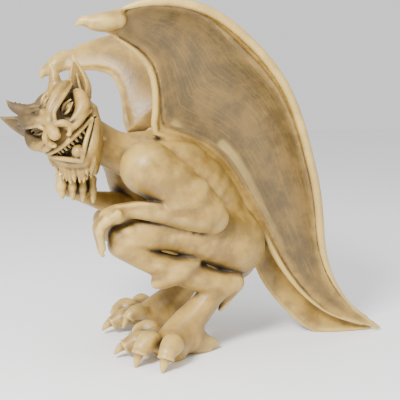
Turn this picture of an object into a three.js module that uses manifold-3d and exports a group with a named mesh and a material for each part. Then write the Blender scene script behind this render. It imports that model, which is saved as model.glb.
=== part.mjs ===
// A crouching winged gargoyle, cast in one piece of stone.
// Millimetres, +Z up, -Y the way its body faces, +X its left side.
// It stands on its two clawed feet and on the lower ends of its wings.

import * as THREE from 'three';
import { mergeVertices } from 'three/addons/utils/BufferGeometryUtils.js';
import Module from 'manifold-3d';

const wasm = await Module();
wasm.setup();

// ---------------------------------------------------------------- driving dimensions

const LEFT = 1;
const RIGHT = -1;

const WING_THICKNESS = 9;
const WING_RIM = 6.5;
const WING_LIP = 5;
const WING_BOWL = 34; // depth of the hollow where the wing is widest
const WING_WIDEST = 180;
const WING_SECTIONS = 19;

const HEAD_CENTRE = [22, -171, 285];
const HEAD_TURN = 63.3; // degrees, from straight ahead towards its left
const HEAD_TILT = 37.5; // degrees, its left ear raised
const MOUTH_HALF_WIDTH = 33;
const MOUTH_CORNER = -24;
const MOUTH_TOP = -32;
const MOUTH_BOTTOM = -55;
const EAR_WIDTH = 27;

const FINGER_RADIUS = 5;
const CLAW_TIP = 1;
const GROUND_SLAB = 60;
const SHORT_EDGE = 0.3; // shorter edges are closed up where the forms meet
const THIN_FACE = 0.02; // flatter faces are given to their neighbours
const CRUMB = 0.02; // faces smaller than this may turn over when an edge is closed
const FOLD = 3.05; // radians between two faces that lie back to back

// Stations along each limb: [x, y, z, radius] or [x, y, z, half width, half depth].
const TORSO = [
  [0, 42, 106, 40, 30],
  [0, 37, 126, 47, 39],
  [0, 25, 162, 45, 36],
  [0, -8, 204, 56, 41],
  [0, -40, 222, 60, 38],
  [0, -72, 236, 40, 30],
];
const NECK = [
  [0, -70, 232, 31],
  [6, -108, 245, 24],
  [14, -142, 264, 24],
];
const LEFT_UPPER_ARM = [
  [60, -76, 226, 31],
  [70, -46, 206, 28],
  [76, -14, 180, 23],
  [78, -4, 170, 19],
];
const LEFT_FOREARM = [
  [78, -5, 170, 18],
  [79, -22, 172, 18],
  [80, -62, 178, 13],
  [80, -98, 182, 9],
  [80, -118, 180, 9],
];
const RIGHT_UPPER_ARM = [
  [-58, -84, 230, 30],
  [-66, -80, 195, 25],
  [-68, -72, 162, 19],
];
const RIGHT_FOREARM = [
  [-67, -72, 162, 18],
  [-44, -98, 172, 16],
  [-16, -132, 184, 10],
  [2, -150, 194, 10],
];
const THIGH = [
  [30, 36, 132, 37],
  [44, -4, 144, 34],
  [54, -44, 154, 27],
  [60, -80, 153, 22],
  [62, -104, 146, 19],
];
const SHIN = [
  [62, -108, 141, 18],
  [58, -76, 119, 15],
  [54, -36, 102, 17],
  [51, 2, 87, 16],
  [50, 30, 85, 12],
];
const SHANK = [
  [50, 27, 86, 12],
  [50, 3, 71, 15],
  [51, -14, 53, 17],
  [56, -34, 34, 20],
  [66, -52, 16, 22],
];
const HEEL = [
  [54, -26, 20, 19],
  [45, -6, 8, 12],
];

// Toes of the left foot: where each leaves the paw, its knuckle, its cuticle, its claw tip.
const TOES = [
  { root: [52, -50, 18], knuckle: [38, -74, 31], nail: [34, -84, 29], tip: [30, -94, 14], size: 10 },
  { root: [60, -60, 16], knuckle: [54, -88, 21], nail: [53, -100, 17], tip: [52, -117, 7], size: 12 },
  { root: [68, -58, 16], knuckle: [80, -82, 27], nail: [86, -91, 22], tip: [90, -99, 2], size: 13 },
  { root: [72, -46, 16], knuckle: [100, -58, 27], nail: [110, -66, 21], tip: [117, -73, 2], size: 13 },
];

// Each wing: its thick outer edge from the wrist to the lower tip, its front edge from the
// wrist down to the shoulder blade, and its inner edge from there along the back.
const LEFT_WING = {
  rim: [
    [70, -132, 394],
    [80, -76, 415],
    [85, 0, 400],
    [80, 80, 325],
    [66, 126, 210],
    [44, 150, 105],
    [28, 190, 43],
    [18, 242, 4],
  ],
  front: [[70, -129, 388], [42, -70, 341], [31, -62, 266]],
  back: [[25, 9, 236], [23, 60, 165], [22, 110, 82], [20, 165, 30], [17, 238, 2]],
};
const RIGHT_WING = {
  rim: [
    [-72, -170, 345],
    [-80, -132, 371],
    [-85, -60, 380],
    [-84, 40, 345],
    [-77, 122, 242],
    [-58, 154, 128],
    [-34, 172, 48],
    [-4, 232, 2],
  ],
  front: [[-70, -168, 341], [-50, -100, 335], [-32, -84, 267]],
  back: [[-24, -10, 240], [-20, 68, 165], [-16, 82, 84], [-6, 128, 22], [4, 168, -2], [8, 228, -2]],
};
const WING_CLAWS = [
  [[70, -112, 396, 10], [70, -128, 393, 12], [70, -138, 392, 9]],
  [[70, -136, 392, 8], [70, -150, 394, 5.5], [70, -158, 389, CLAW_TIP]],
  [[-74, -158, 356, 10], [-72, -168, 348, 11], [-72, -175, 342, 9]],
  [[-72, -173, 343, 8], [-72, -184, 338, 5.5], [-72, -188, 330, CLAW_TIP]],
];

// ---------------------------------------------------------------- geometry helpers

const vector = ([x, y, z]) => new THREE.Vector3(x, y, z);

// The path through some points, read by a fraction of the number of its spans.
function pathThrough(points) {
  return new THREE.CatmullRomCurve3(points.map(vector), false, 'catmullrom', 0.5);
}

function middleOf(ring) {
  return ring.reduce((sum, point) => sum.add(point), vector([0, 0, 0])).divideScalar(ring.length);
}

// A closed skin over rings of points that all have the same count, with a fan at each end.
function loft(rings, firstPole = middleOf(rings[0]), lastPole = middleOf(rings[rings.length - 1])) {
  const count = rings[0].length;
  const points = [...rings.flat(), firstPole, lastPole];
  const startPole = points.length - 2;
  const endPole = points.length - 1;
  const lastRing = (rings.length - 1) * count;
  const index = [];
  for (let i = 0; i < count; i++) {
    const next = (i + 1) % count;
    for (let row = 0; row < lastRing; row += count) {
      index.push(row + i, row + next, row + count + next);
      index.push(row + i, row + count + next, row + count + i);
    }
    index.push(startPole, next, i);
    index.push(endPole, lastRing + i, lastRing + next);
  }
  const geometry = new THREE.BufferGeometry().setFromPoints(points);
  geometry.setIndex(index);
  return geometry;
}

// A round-ended limb through stations, with `steps` sections in each span.
function limb(stations, { sides = 8, steps = 2 } = {}) {
  const path = pathThrough(stations);
  const sizes = pathThrough(stations.map(([, , , a, b = a]) => [a, b, 0]));
  const spans = (stations.length - 1) * steps;
  const reach = path.getPoint(1).sub(path.getPoint(0)).normalize();
  const across = vector(Math.abs(reach.x) > 0.75 ? [0, 1, 0] : [1, 0, 0]);
  const ringAt = (t, shift, shrink) => {
    const tangent = path.getTangent(t);
    const side = across.clone().addScaledVector(tangent, -tangent.dot(across)).normalize();
    const other = new THREE.Vector3().crossVectors(tangent, side);
    const size = sizes.getPoint(t);
    const centre = path.getPoint(t).addScaledVector(tangent, shift * Math.min(size.x, size.y));
    return Array.from({ length: sides }, (_, i) => {
      const angle = (2 * Math.PI * i) / sides;
      return centre.clone()
        .addScaledVector(side, Math.cos(angle) * size.x * shrink)
        .addScaledVector(other, Math.sin(angle) * size.y * shrink);
    });
  };
  const rings = Array.from({ length: spans + 1 }, (_, i) => ringAt(i / spans, 0, 1));
  rings.unshift(ringAt(0, -0.6, 0.75));
  rings.push(ringAt(1, 0.6, 0.75));
  return loft(rings, middleOf(ringAt(0, -0.95, 1)), middleOf(ringAt(1, 0.95, 1)));
}

// An egg with three half sizes.
function egg(centre, sizes, detail = 12) {
  const sphere = new THREE.SphereGeometry(1, detail, Math.round(detail * 0.66));
  return sphere.scale(...sizes).translate(...centre);
}

function bothSides(make) {
  return [make(LEFT), make(RIGHT)];
}

function mirrored(stations) {
  return stations.map(([x, ...rest]) => [-x, ...rest]);
}

// A manifold solid from a closed geometry, with its faces turned outwards.
function solid(geometry) {
  const bare = geometry.clone();
  bare.deleteAttribute('normal');
  bare.deleteAttribute('uv');
  const merged = mergeVertices(bare, 1e-3);
  const vertProperties = new Float32Array(merged.attributes.position.array);
  const triVerts = new Uint32Array(merged.index.array);
  const corner = (i) => vector(vertProperties.slice(3 * triVerts[i], 3 * triVerts[i] + 3));
  let volume = 0;
  for (let i = 0; i < triVerts.length; i += 3) {
    volume += corner(i).dot(corner(i + 1).cross(corner(i + 2)));
  }
  if (volume < 0) triVerts.reverse();
  return new wasm.Manifold(new wasm.Mesh({ numProp: 3, vertProperties, triVerts }));
}

function join(geometries) {
  return geometries.map(solid).reduce((whole, next) => whole.add(next));
}

// ---------------------------------------------------------------- wings

// One section of a wing, from its outer edge to its front or inner edge and back: the
// hollow face has a raised lip along both edges, and the back follows it. The lip and the
// hollow fade out at the two ends of the wing.
function wingSection(outer, inner, side, fade) {
  const across = new THREE.Vector3().subVectors(inner, outer);
  const backwards = vector([-side, 0, 0]);
  backwards.addScaledVector(across, -backwards.dot(across) / across.lengthSq()).normalize();
  const outwards = across.clone().normalize().negate();
  const width = across.length();
  const bowl = WING_BOWL * Math.min(1, width / WING_WIDEST) * fade;
  const at = (fraction, depth, shift = 0) => outer.clone()
    .addScaledVector(across, fraction)
    .addScaledVector(backwards, depth + bowl * Math.sin(Math.PI * fraction) ** 0.8)
    .addScaledVector(outwards, shift);
  const rim = Math.min(WING_RIM, width / 4);
  const edge = Math.min(2 * rim / width, 0.2);
  const lip = Math.min(WING_LIP, width / 8) * fade;
  const thickness = Math.min(WING_THICKNESS, width / 4);
  return [
    at(0, 0, -rim * 0.1),
    at(0, -lip, -rim * 0.6),
    at(edge * 0.8, -lip),
    at(edge * 1.2, 0),
    ...[0.25, 0.5, 0.75].map((f) => at(f, 0)),
    at(1 - edge * 0.7, 0),
    at(1 - edge * 0.4, -lip * 0.5),
    at(1, 0),
    at(1, thickness * 0.8, rim * 0.3),
    ...[0.7, 0.35].map((f) => at(f, thickness)),
    at(0, thickness, -rim * 0.7),
  ];
}

function wing(edges, side) {
  const rim = pathThrough(edges.rim);
  const front = pathThrough(edges.front);
  const back = pathThrough([edges.front[edges.front.length - 1], ...edges.back]);
  const shoulder = 0.3; // share of the sections that end on the front edge
  const sections = [];
  for (let i = 0; i <= WING_SECTIONS; i++) {
    const t = i / WING_SECTIONS;
    const inner = t < shoulder
      ? front.getPointAt(t / shoulder)
      : back.getPointAt((t - shoulder) / (1 - shoulder));
    const outer = rim.getPointAt(t);
    const fade = Math.sqrt(Math.max(0, Math.sin(Math.PI * t ** 0.8)));
    sections.push(wingSection(outer, inner, side, fade));
  }
  return loft(sections);
}

// ---------------------------------------------------------------- head

// Head parts are placed in the head's own frame: x its left, -y out of the face, z up.
const headFrame = new THREE.Matrix4()
  .makeTranslation(...HEAD_CENTRE)
  .multiply(new THREE.Matrix4().makeRotationZ(THREE.MathUtils.degToRad(HEAD_TURN)))
  .multiply(new THREE.Matrix4().makeRotationY(THREE.MathUtils.degToRad(-HEAD_TILT)));

function horn(side) {
  return limb([
    [side * 16, -20, 19, 9],
    [side * 26, -23, 33, 7],
    [side * 33, -23, 43, 4.5],
    [side * 34, -22, 52, CLAW_TIP],
  ], { sides: 7 });
}

// A pointed ear: a leaf, hollow in front, its outer edge the rounder one.
function ear(side) {
  const root = vector([side * 34, 2, 9]);
  const tip = vector([side * 58, -9, 45]);
  const wide = vector([side * 0.8, 0.15, -0.6]);
  const hollow = vector([0, 1, 0.2]);
  const rings = [0, 0.25, 0.5, 0.75, 0.97].map((t) => {
    const half = (EAR_WIDTH / 2) * (1 - t ** 2) + 0.8;
    const centre = root.clone().lerp(tip, t).addScaledVector(wide, 3 * Math.sin(Math.PI * t));
    const at = (w, d) => centre.clone().addScaledVector(wide, w * half).addScaledVector(hollow, d);
    const cup = half * 0.5;
    return [at(-1, 0), at(-0.7, 0), at(0, cup), at(0.7, 0), at(1, 0), at(0.6, cup + 3), at(-0.6, cup + 3)];
  });
  return loft(rings);
}

// A brow sweeps from the root of the nose up to the temple and overhangs the eye.
function brow(side) {
  return limb([
    [side * 3, -37, 3, 5],
    [side * 12, -38, 8, 7],
    [side * 24, -33, 14, 8],
    [side * 36, -22, 21, 4],
  ], { sides: 6, steps: 1 });
}

function temple(side) {
  return egg([side * 17, -22, 18], [14, 13, 12], 7);
}

function cheek(side) {
  return limb([
    [side * 35, -10, 10, 6],
    [side * 36, -18, -3, 9],
    [side * 29, -25, -14, 9],
    [side * 17, -32, -20, 6],
  ], { sides: 6, steps: 1 });
}

function nose() {
  return limb([[0, -35, 8, 5], [0, -42, -6, 6], [0, -47, -18, 8]], { sides: 7 });
}

function nostril(side) {
  return egg([side * 9, -41, -21], [6.5, 8, 6], 6);
}

// The jaw runs from ear to ear round the chin.
function jaw() {
  const leftHalf = [[35, -2, -16, 9], [27, -12, -34, 9], [13, -22, -50, 9]];
  const stations = [...leftHalf, [0, -26, MOUTH_BOTTOM, 9], ...mirrored(leftHalf).reverse()];
  return limb(stations, { sides: 6, steps: 1 });
}

function eyeball(side) {
  return egg([side * 21, -26, 1], [8, 6, 5], 6);
}

// The upper lip arches from one corner of the mouth to the other.
function upperLip() {
  return limb([-1, -0.6, -0.2, 0.2, 0.6, 1].map((s) => [
    s * MOUTH_HALF_WIDTH,
    21 * s ** 2 - 38,
    MOUTH_CORNER + (MOUTH_TOP - MOUTH_CORNER) * (1 - s ** 2),
    3.6,
  ]), { sides: 5, steps: 1 });
}

// The grin: a wide V cut into the lower face.
function grin() {
  const rings = [-1, -0.5, 0, 0.5, 1].map((s) => {
    const x = s * MOUTH_HALF_WIDTH;
    const top = MOUTH_CORNER + (MOUTH_TOP - MOUTH_CORNER) * (1 - s ** 2) + 1;
    const bottom = MOUTH_CORNER + (MOUTH_BOTTOM - MOUTH_CORNER) * (1 - Math.abs(s)) - 1;
    const back = -22 + 14 * s ** 2;
    return [[x, -60, top], [x, -60, bottom], [x, back, bottom], [x, back, top]].map(vector);
  });
  return loft(rings);
}

// Locks of beard hang straight down from the edge of the jaw, however the head is tilted.
function beard() {
  const jawLine = pathThrough([[36, -4, -8], [29, -12, -33], [9, -22, -56], [-12, -20, -52], [-27, -14, -38]]);
  const tilt = THREE.MathUtils.degToRad(HEAD_TILT);
  const down = vector([-Math.sin(tilt), 0, -Math.cos(tilt)]);
  const locks = 6;
  return Array.from({ length: locks }, (_, i) => {
    const t = i / (locks - 1);
    const root = jawLine.getPoint(t);
    const at = (drop, front) => root.clone().addScaledVector(down, drop).add(vector([0, front, 0])).toArray();
    const length = 16 + 10 * Math.sin(Math.PI * t);
    const stations = [[...at(0, 0), 8], [...at(length * 0.6, -3), 6.5], [...at(length, 2), 1.5]];
    return limb(stations, { sides: 5, steps: 1 });
  });
}

function head() {
  const skull = join([
    egg([0, 4, 8], [36, 36, 29], 12),
    egg([0, -8, -26], [30, 24, 24], 10),
    jaw(),
    ...bothSides(cheek),
    ...bothSides(temple),
    ...bothSides(brow),
    ...bothSides(nostril),
    nose(),
    egg([0, -27, -27], [19, 12, 9], 8),
  ]);
  const rest = join([
    upperLip(),
    egg([0, -22, -48], [9, 11, 8], 6),
    ...bothSides(eyeball),
    ...bothSides(horn),
    ...bothSides(ear),
    ...beard(),
  ]);
  return skull.subtract(solid(grin())).add(rest).transform(headFrame.elements);
}

// ---------------------------------------------------------------- hands and feet

// The left hand hangs over the knee, its fingers pointing down.
function hangingHand() {
  const fingers = Array.from({ length: 4 }, (_, i) => {
    const x = 64 + i * 9;
    const drop = 26 - Math.abs(i - 1.5) * 3;
    return limb([
      [x, -127, 172, FINGER_RADIUS + 1],
      [x, -136, 163, FINGER_RADIUS],
      [x - 1, -137, 162 - drop * 0.6, FINGER_RADIUS * 0.9],
      [x - 2, -132, 162 - drop, CLAW_TIP * 2],
    ], { sides: 6, steps: 1 });
  });
  return [egg([79, -123, 176], [17, 15, 10], 8), ...fingers];
}

// The right hand is curled under the chin; its fingers grow thinner towards the little one.
function curledHand() {
  const fingers = Array.from({ length: 4 }, (_, i) => {
    const x = 26 - i * 2.6;
    const y = -174 + i * 12.5;
    const z = 206 - i * 2.4;
    const radius = FINGER_RADIUS * (1.15 - 0.07 * i);
    return limb([
      [x - 14 + i * 0.8, y + 3 - i * 1.1, z + 6, radius],
      [x - 2, y, z + 13 - i * 0.9, radius],
      [x + 3, y - 0.6, z + 2, radius * 0.87],
      [x - 1, y + 1.3 - i * 0.4, z - 12 + i * 0.7, radius * 0.6],
    ], { sides: 6, steps: 1 });
  });
  return [egg([6, -156, 203], [13, 24, 14], 9), ...fingers];
}

function toe({ root, knuckle, nail, tip, size }) {
  const between = (from, to, share, lift = 0) => vector(from)
    .lerp(vector(to), share)
    .add(vector([0, 0, lift]))
    .toArray();
  const clawRoot = between(nail, knuckle, 0.2);
  const hook = between(nail, tip, 0.5, 3);
  return [
    limb([[...root, size * 1.1], [...knuckle, size], [...nail, size * 0.75]], { sides: 7, steps: 1 }),
    limb([[...clawRoot, size * 0.52], [...hook, size * 0.44], [...tip, size * 0.2]], { sides: 5, steps: 1 }),
  ];
}

function leg(side) {
  const turn = side === LEFT ? (stations) => stations : mirrored;
  const limbs = [THIGH, SHIN, SHANK, HEEL].map((stations) => limb(turn(stations), { steps: 1 }));
  const toes = TOES.flatMap(({ root, knuckle, nail, tip, size }) => {
    const [a, b, c, d] = turn([root, knuckle, nail, tip]);
    return toe({ root: a, knuckle: b, nail: c, tip: d, size });
  });
  return [...limbs, ...toes];
}

// ---------------------------------------------------------------- the figure

// The muscle over each shoulder blade, which carries the root of the wing.
function shoulderBlade(side) {
  return egg([side * 33, -36, 238], [19, 32, 19], 9);
}

function figure() {
  const body = join([
    limb(TORSO, { sides: 14 }),
    limb(NECK),
    ...bothSides(shoulderBlade),
    limb(LEFT_UPPER_ARM),
    limb(LEFT_FOREARM),
    limb(RIGHT_UPPER_ARM),
    limb(RIGHT_FOREARM),
    ...hangingHand(),
    ...curledHand(),
    ...leg(LEFT),
    ...leg(RIGHT),
  ]);
  const wings = join([
    wing(LEFT_WING, LEFT),
    wing(RIGHT_WING, RIGHT),
    ...WING_CLAWS.map((stations) => limb(stations, { sides: 6 })),
  ]);
  const ground = new THREE.BoxGeometry(1000, 1000, GROUND_SLAB).translate(0, 0, -GROUND_SLAB / 2);
  return body.add(wings).add(head()).subtract(solid(ground));
}

// Closes the short edges of a skin and turns the long edge of each flat face over to its
// neighbour, wherever the skin stays one closed sheet. Both lists are changed in place.
function tidy(points, faces) {
  const around = points.map(() => new Set());
  faces.forEach((face, f) => face.forEach((p) => around[p].add(f)));
  const neighbours = (p) => new Set([...around[p]].flatMap((f) => faces[f]));
  const sharedFaces = (a, b) => [...around[a]].filter((f) => around[b].has(f));
  const normal = ([a, b, c]) => points[b].clone().sub(points[a]).cross(points[c].clone().sub(points[a]));
  const replace = (f, face) => {
    faces[f].forEach((p) => around[p].delete(f));
    faces[f] = face;
    face.forEach((p) => around[p].add(f));
  };

  const close = (kept, gone) => {
    const lost = sharedFaces(kept, gone);
    const common = [...neighbours(kept)].filter((p) => neighbours(gone).has(p));
    if (lost.length !== 2 || common.length !== 4) return false;
    const moved = [...around[gone]].filter((f) => !lost.includes(f));
    const after = (f) => faces[f].map((p) => (p === gone ? kept : p));
    const turnsOver = (f) => normal(faces[f]).length() > CRUMB && normal(after(f)).dot(normal(faces[f])) < 0;
    if (moved.some(turnsOver)) return false;
    lost.forEach((f) => replace(f, []));
    moved.forEach((f) => replace(f, after(f)));
    for (const f of moved) {
      const [a, b, c] = faces[f];
      const twins = sharedFaces(a, b).filter((g) => around[c].has(g));
      if (twins.length > 1) {
        twins.forEach((g) => replace(g, []));
        break;
      }
    }
    return true;
  };

  const turnLongEdge = (f) => {
    const lengths = faces[f].map((p, i) => points[p].distanceTo(points[faces[f][(i + 1) % 3]]));
    const i = lengths.indexOf(Math.max(...lengths));
    const [a, b, c] = [0, 1, 2].map((k) => faces[f][(i + k) % 3]);
    const other = sharedFaces(a, b).find((g) => g !== f);
    const thin = normal(faces[f]).length() / lengths[i] < THIN_FACE;
    const folded = normal(faces[f]).angleTo(normal(faces[other])) > FOLD;
    const d = faces[other].find((p) => p !== a && p !== b);
    if ((!thin && !folded) || sharedFaces(c, d).length > 0) return false;
    replace(f, [a, d, c]);
    replace(other, [d, b, c]);
    return true;
  };

  const sweep = () => {
    let changes = 0;
    faces.forEach((_, f) => {
      for (let i = 0; i < faces[f].length; i++) {
        const [a, b] = [faces[f][i], faces[f][(i + 1) % 3]];
        if (points[a].distanceTo(points[b]) < SHORT_EDGE && (close(a, b) || close(b, a))) changes += 1;
      }
      if (faces[f].length > 0 && turnLongEdge(f)) changes += 1;
    });
    return changes;
  };
  for (let pass = 0; pass < 8 && sweep() > 0; pass++);
}

function geometryFrom(manifold) {
  const { numProp, vertProperties, triVerts } = manifold.getMesh();
  const points = [];
  for (let i = 0; i < vertProperties.length; i += numProp) {
    points.push(vector(vertProperties.slice(i, i + 3)));
  }
  const faces = [];
  for (let i = 0; i < triVerts.length; i += 3) {
    faces.push([...triVerts.slice(i, i + 3)]);
  }
  tidy(points, faces);
  const geometry = new THREE.BufferGeometry().setFromPoints(points);
  geometry.setIndex(faces.flat());
  return geometry;
}

const stone = new THREE.MeshStandardMaterial({ color: 0xb59a5c, roughness: 0.72, metalness: 0 });
const gargoyle = new THREE.Mesh(geometryFrom(figure()), stone);
gargoyle.name = 'gargoyle';

// The origin is under the middle of the figure, at the ground.
gargoyle.geometry.computeBoundingBox();
const middle = gargoyle.geometry.boundingBox.getCenter(new THREE.Vector3());
gargoyle.geometry.translate(-middle.x, -middle.y, 0);

const group = new THREE.Group();
group.add(gargoyle);

export default group;
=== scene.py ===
"""A crouching winged gargoyle in cast stone with an antique ochre finish.

The carving is done on blocks of signed distance: each muscle, horn, lock and claw is a form that
is joined to the block or cut out of it. Places on the figure are in millimetres in the carver's
frame (+Z up, -Y ahead of the crouching body, +X its left side). Blender's objects are in metres.
"""

import math

import bpy
import numpy as np
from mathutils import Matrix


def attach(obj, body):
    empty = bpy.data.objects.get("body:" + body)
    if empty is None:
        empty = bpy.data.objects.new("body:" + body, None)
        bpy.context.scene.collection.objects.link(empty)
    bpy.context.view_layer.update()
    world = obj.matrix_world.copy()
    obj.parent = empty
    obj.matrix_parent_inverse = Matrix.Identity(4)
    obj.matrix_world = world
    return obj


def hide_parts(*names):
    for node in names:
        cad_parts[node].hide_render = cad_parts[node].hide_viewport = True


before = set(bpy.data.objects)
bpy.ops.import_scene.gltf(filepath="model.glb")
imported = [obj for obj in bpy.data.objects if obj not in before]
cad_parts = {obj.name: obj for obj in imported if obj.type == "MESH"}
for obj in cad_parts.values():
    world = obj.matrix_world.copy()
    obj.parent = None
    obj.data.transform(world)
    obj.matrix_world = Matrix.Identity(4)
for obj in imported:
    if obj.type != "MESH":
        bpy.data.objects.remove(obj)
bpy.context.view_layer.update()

import openvdb
from bpy.props import FloatProperty, FloatVectorProperty, IntProperty, PointerProperty
from mathutils import Matrix, Vector, kdtree

bl_info = {
    "name": "Stone Gargoyle",
    "version": (1, 0, 0),
    "blender": (4, 5, 0),
    "location": "3D View > Sidebar > Gargoyle",
    "description": "Carves a crouching winged gargoyle and sets it on a pale studio floor",
    "category": "Object",
}

MILLIMETRE = 0.001
LEFT = 1
RIGHT = -1
BOTH = (LEFT, RIGHT)
FROM_CARVER = Vector((-0.11, -1.10, 0.0))  # mm from the carver's frame to the part's own

HEAD_CENTRE = (22, -171, 285)
HEAD_TURN = math.radians(63.3)
HEAD_TILT = math.radians(37.5)

# ---------------------------------------------------------------- stations of the limbs
# x, y, z, radius, or x, y, z, half width, half depth

TORSO = [
    (0, 42, 106, 40, 30),
    (0, 37, 126, 47, 39),
    (0, 25, 162, 45, 36),
    (0, -8, 204, 56, 41),
    (0, -40, 222, 60, 38),
    (0, -72, 236, 40, 30),
]
NECK = [(0, -70, 232, 31), (6, -108, 245, 24), (14, -142, 264, 24)]
LEFT_UPPER_ARM = [(60, -76, 226, 31), (70, -46, 206, 28), (76, -14, 180, 23), (78, -4, 170, 19)]
LEFT_FOREARM = [
    (78, -5, 170, 18),
    (79, -22, 172, 18),
    (80, -62, 178, 13),
    (80, -98, 182, 9),
    (80, -118, 180, 9),
]
RIGHT_UPPER_ARM = [(-58, -84, 230, 30), (-66, -80, 195, 25), (-68, -72, 162, 19)]
RIGHT_FOREARM = [(-67, -72, 162, 18), (-44, -98, 172, 16), (-16, -132, 184, 10), (2, -150, 194, 10)]
THIGH = [
    (30, 36, 132, 37),
    (44, -4, 144, 34),
    (54, -44, 154, 27),
    (60, -80, 153, 22),
    (62, -104, 146, 19),
]
SHIN = [
    (62, -108, 141, 18),
    (58, -76, 119, 15),
    (54, -36, 102, 17),
    (51, 2, 87, 16),
    (50, 30, 85, 12),
]
SHANK = [
    (50, 27, 86, 12),
    (50, 3, 71, 15),
    (51, -14, 53, 17),
    (56, -34, 34, 20),
    (66, -52, 16, 22),
]
HEEL = [(54, -26, 20, 19), (45, -6, 8, 12)]

# Toes of the left foot: root, knuckle, cuticle, claw tip, and radius.
TOES = [
    ((52, -50, 18), (38, -74, 31), (34, -84, 29), (30, -94, 14), 10),
    ((60, -60, 16), (54, -88, 21), (53, -100, 17), (52, -117, 7), 12),
    ((68, -58, 16), (80, -82, 27), (86, -91, 22), (90, -99, 2), 13),
    ((72, -46, 16), (100, -58, 27), (110, -66, 21), (117, -73, 2), 13),
]

# Wings: the outer edge from wrist to lower tip, the front edge from wrist to shoulder blade,
# and the inner edge from there along the back.
WINGS = {
    LEFT: {
        "rim": [
            (70, -132, 394),
            (80, -76, 415),
            (85, 0, 400),
            (80, 80, 325),
            (66, 126, 210),
            (44, 150, 105),
            (28, 190, 43),
            (18, 242, 4),
        ],
        "front": [(70, -129, 388), (42, -70, 341), (31, -62, 266)],
        "back": [(25, 9, 236), (23, 60, 165), (22, 110, 82), (20, 165, 30), (17, 238, 2)],
        "wrist": [(70, -112, 396, 10), (70, -128, 393, 11), (70, -140, 392, 8)],
        "claw": [(70, -136, 392, 8), (70, -150, 394, 5.5), (70, -159, 389, 1)],
    },
    RIGHT: {
        "rim": [
            (-72, -170, 345),
            (-80, -132, 371),
            (-85, -60, 380),
            (-84, 40, 345),
            (-77, 122, 242),
            (-58, 154, 128),
            (-34, 172, 48),
            (-4, 232, 2),
        ],
        "front": [(-70, -168, 341), (-50, -100, 335), (-32, -84, 267)],
        "back": [
            (-24, -10, 240),
            (-20, 68, 165),
            (-16, 82, 84),
            (-6, 128, 22),
            (4, 168, -2),
            (8, 228, -2),
        ],
        "wrist": [(-74, -158, 356, 10), (-72, -168, 348, 11), (-72, -175, 342, 9)],
        "claw": [(-72, -173, 343, 8), (-72, -184, 338, 5.5), (-72, -188, 330, 1)],
    },
}


# ---------------------------------------------------------------- blocks and forms


def mirrored(stations):
    """Stations of the other side's limb."""
    return [(-x, *rest) for x, *rest in stations]


def sided(stations, side):
    return stations if side == LEFT else mirrored(stations)


def curve_through(points, steps):
    """A smooth line through the points, with some steps in each span."""
    p = np.array(points, float)
    p = np.vstack([2 * p[0] - p[1], p, 2 * p[-1] - p[-2]])
    t = np.linspace(0, 1, steps, endpoint=False)[:, None]
    spans = []
    for a, b, c, d in zip(p, p[1:], p[2:], p[3:]):
        cubic = 2 * b + (c - a) * t
        cubic = cubic + (2 * a - 5 * b + 4 * c - d) * t**2 + (3 * b - a - 3 * c + d) * t**3
        spans.append(cubic / 2)
    return np.vstack([*spans, p[-2:-1]])


class Strand:
    """A round-ended bar that follows stations; a fifth number flattens it across `across`."""

    def __init__(self, stations, steps=4, across=(1, 0, 0)):
        rows = [(*s, s[3]) if len(s) == 4 else s for s in stations]
        self.line = curve_through(rows, steps)
        self.line[:, 3:] = np.maximum(self.line[:, 3:], 0.4)
        self.across = np.array(across, float) / np.linalg.norm(across)
        reach = self.line[:, 3:].max()
        self.low = self.line[:, :3].min(0) - reach
        self.high = self.line[:, :3].max(0) + reach

    def distance(self, x, y, z):
        nearest = None
        for start, end in zip(self.line, self.line[1:]):
            along = end[:3] - start[:3]
            share = (x - start[0]) * along[0] + (y - start[1]) * along[1] + (z - start[2]) * along[2]
            share = np.clip(share / (along @ along), 0, 1)
            off = [v - start[i] - share * along[i] for i, v in enumerate((x, y, z))]
            wide = start[3] + share * (end[3] - start[3])
            deep = start[4] + share * (end[4] - start[4])
            square = off[0] ** 2 + off[1] ** 2 + off[2] ** 2
            if start[3] != start[4]:
                sideways = sum(o * a for o, a in zip(off, self.across))
                square = square + sideways**2 * ((deep / wide) ** 2 - 1)
            found = np.sqrt(np.maximum(square, 0)) - deep
            nearest = found if nearest is None else np.minimum(nearest, found)
        return nearest


class Egg:
    """An ellipsoid with three half sizes, turned by degrees about X, Y and Z."""

    def __init__(self, centre, sizes, turn=(0, 0, 0)):
        self.centre = np.array(centre, float)
        self.sizes = np.array(sizes, float)
        angles = [math.radians(a) for a in turn]
        turned = [Matrix.Rotation(a, 3, axis) for a, axis in zip(angles, "XYZ")]
        self.axes = np.array(turned[2] @ turned[1] @ turned[0], float).T
        self.low = self.centre - self.sizes.max()
        self.high = self.centre + self.sizes.max()

    def distance(self, x, y, z):
        off = (x - self.centre[0], y - self.centre[1], z - self.centre[2])
        scaled = [sum(a * o for a, o in zip(axis, off)) / r for axis, r in zip(self.axes, self.sizes)]
        inner = np.sqrt(sum(s**2 for s in scaled)) + 1e-6
        slope = np.sqrt(sum((s / r) ** 2 for s, r in zip(scaled, self.sizes))) + 1e-6
        return inner * (inner - 1) / slope


class Ring:
    """A round collar about an axis."""

    def __init__(self, centre, axis, radius, thickness):
        self.centre = np.array(centre, float)
        self.axis = np.array(axis, float) / np.linalg.norm(axis)
        self.radius = radius
        self.thickness = thickness
        self.low = self.centre - radius - thickness
        self.high = self.centre + radius + thickness

    def distance(self, x, y, z):
        off = (x - self.centre[0], y - self.centre[1], z - self.centre[2])
        height = sum(o * a for o, a in zip(off, self.axis))
        square = sum(o**2 for o in off)
        out = np.sqrt(np.maximum(square - height**2, 0)) - self.radius
        return np.sqrt(out**2 + height**2) - self.thickness


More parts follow.
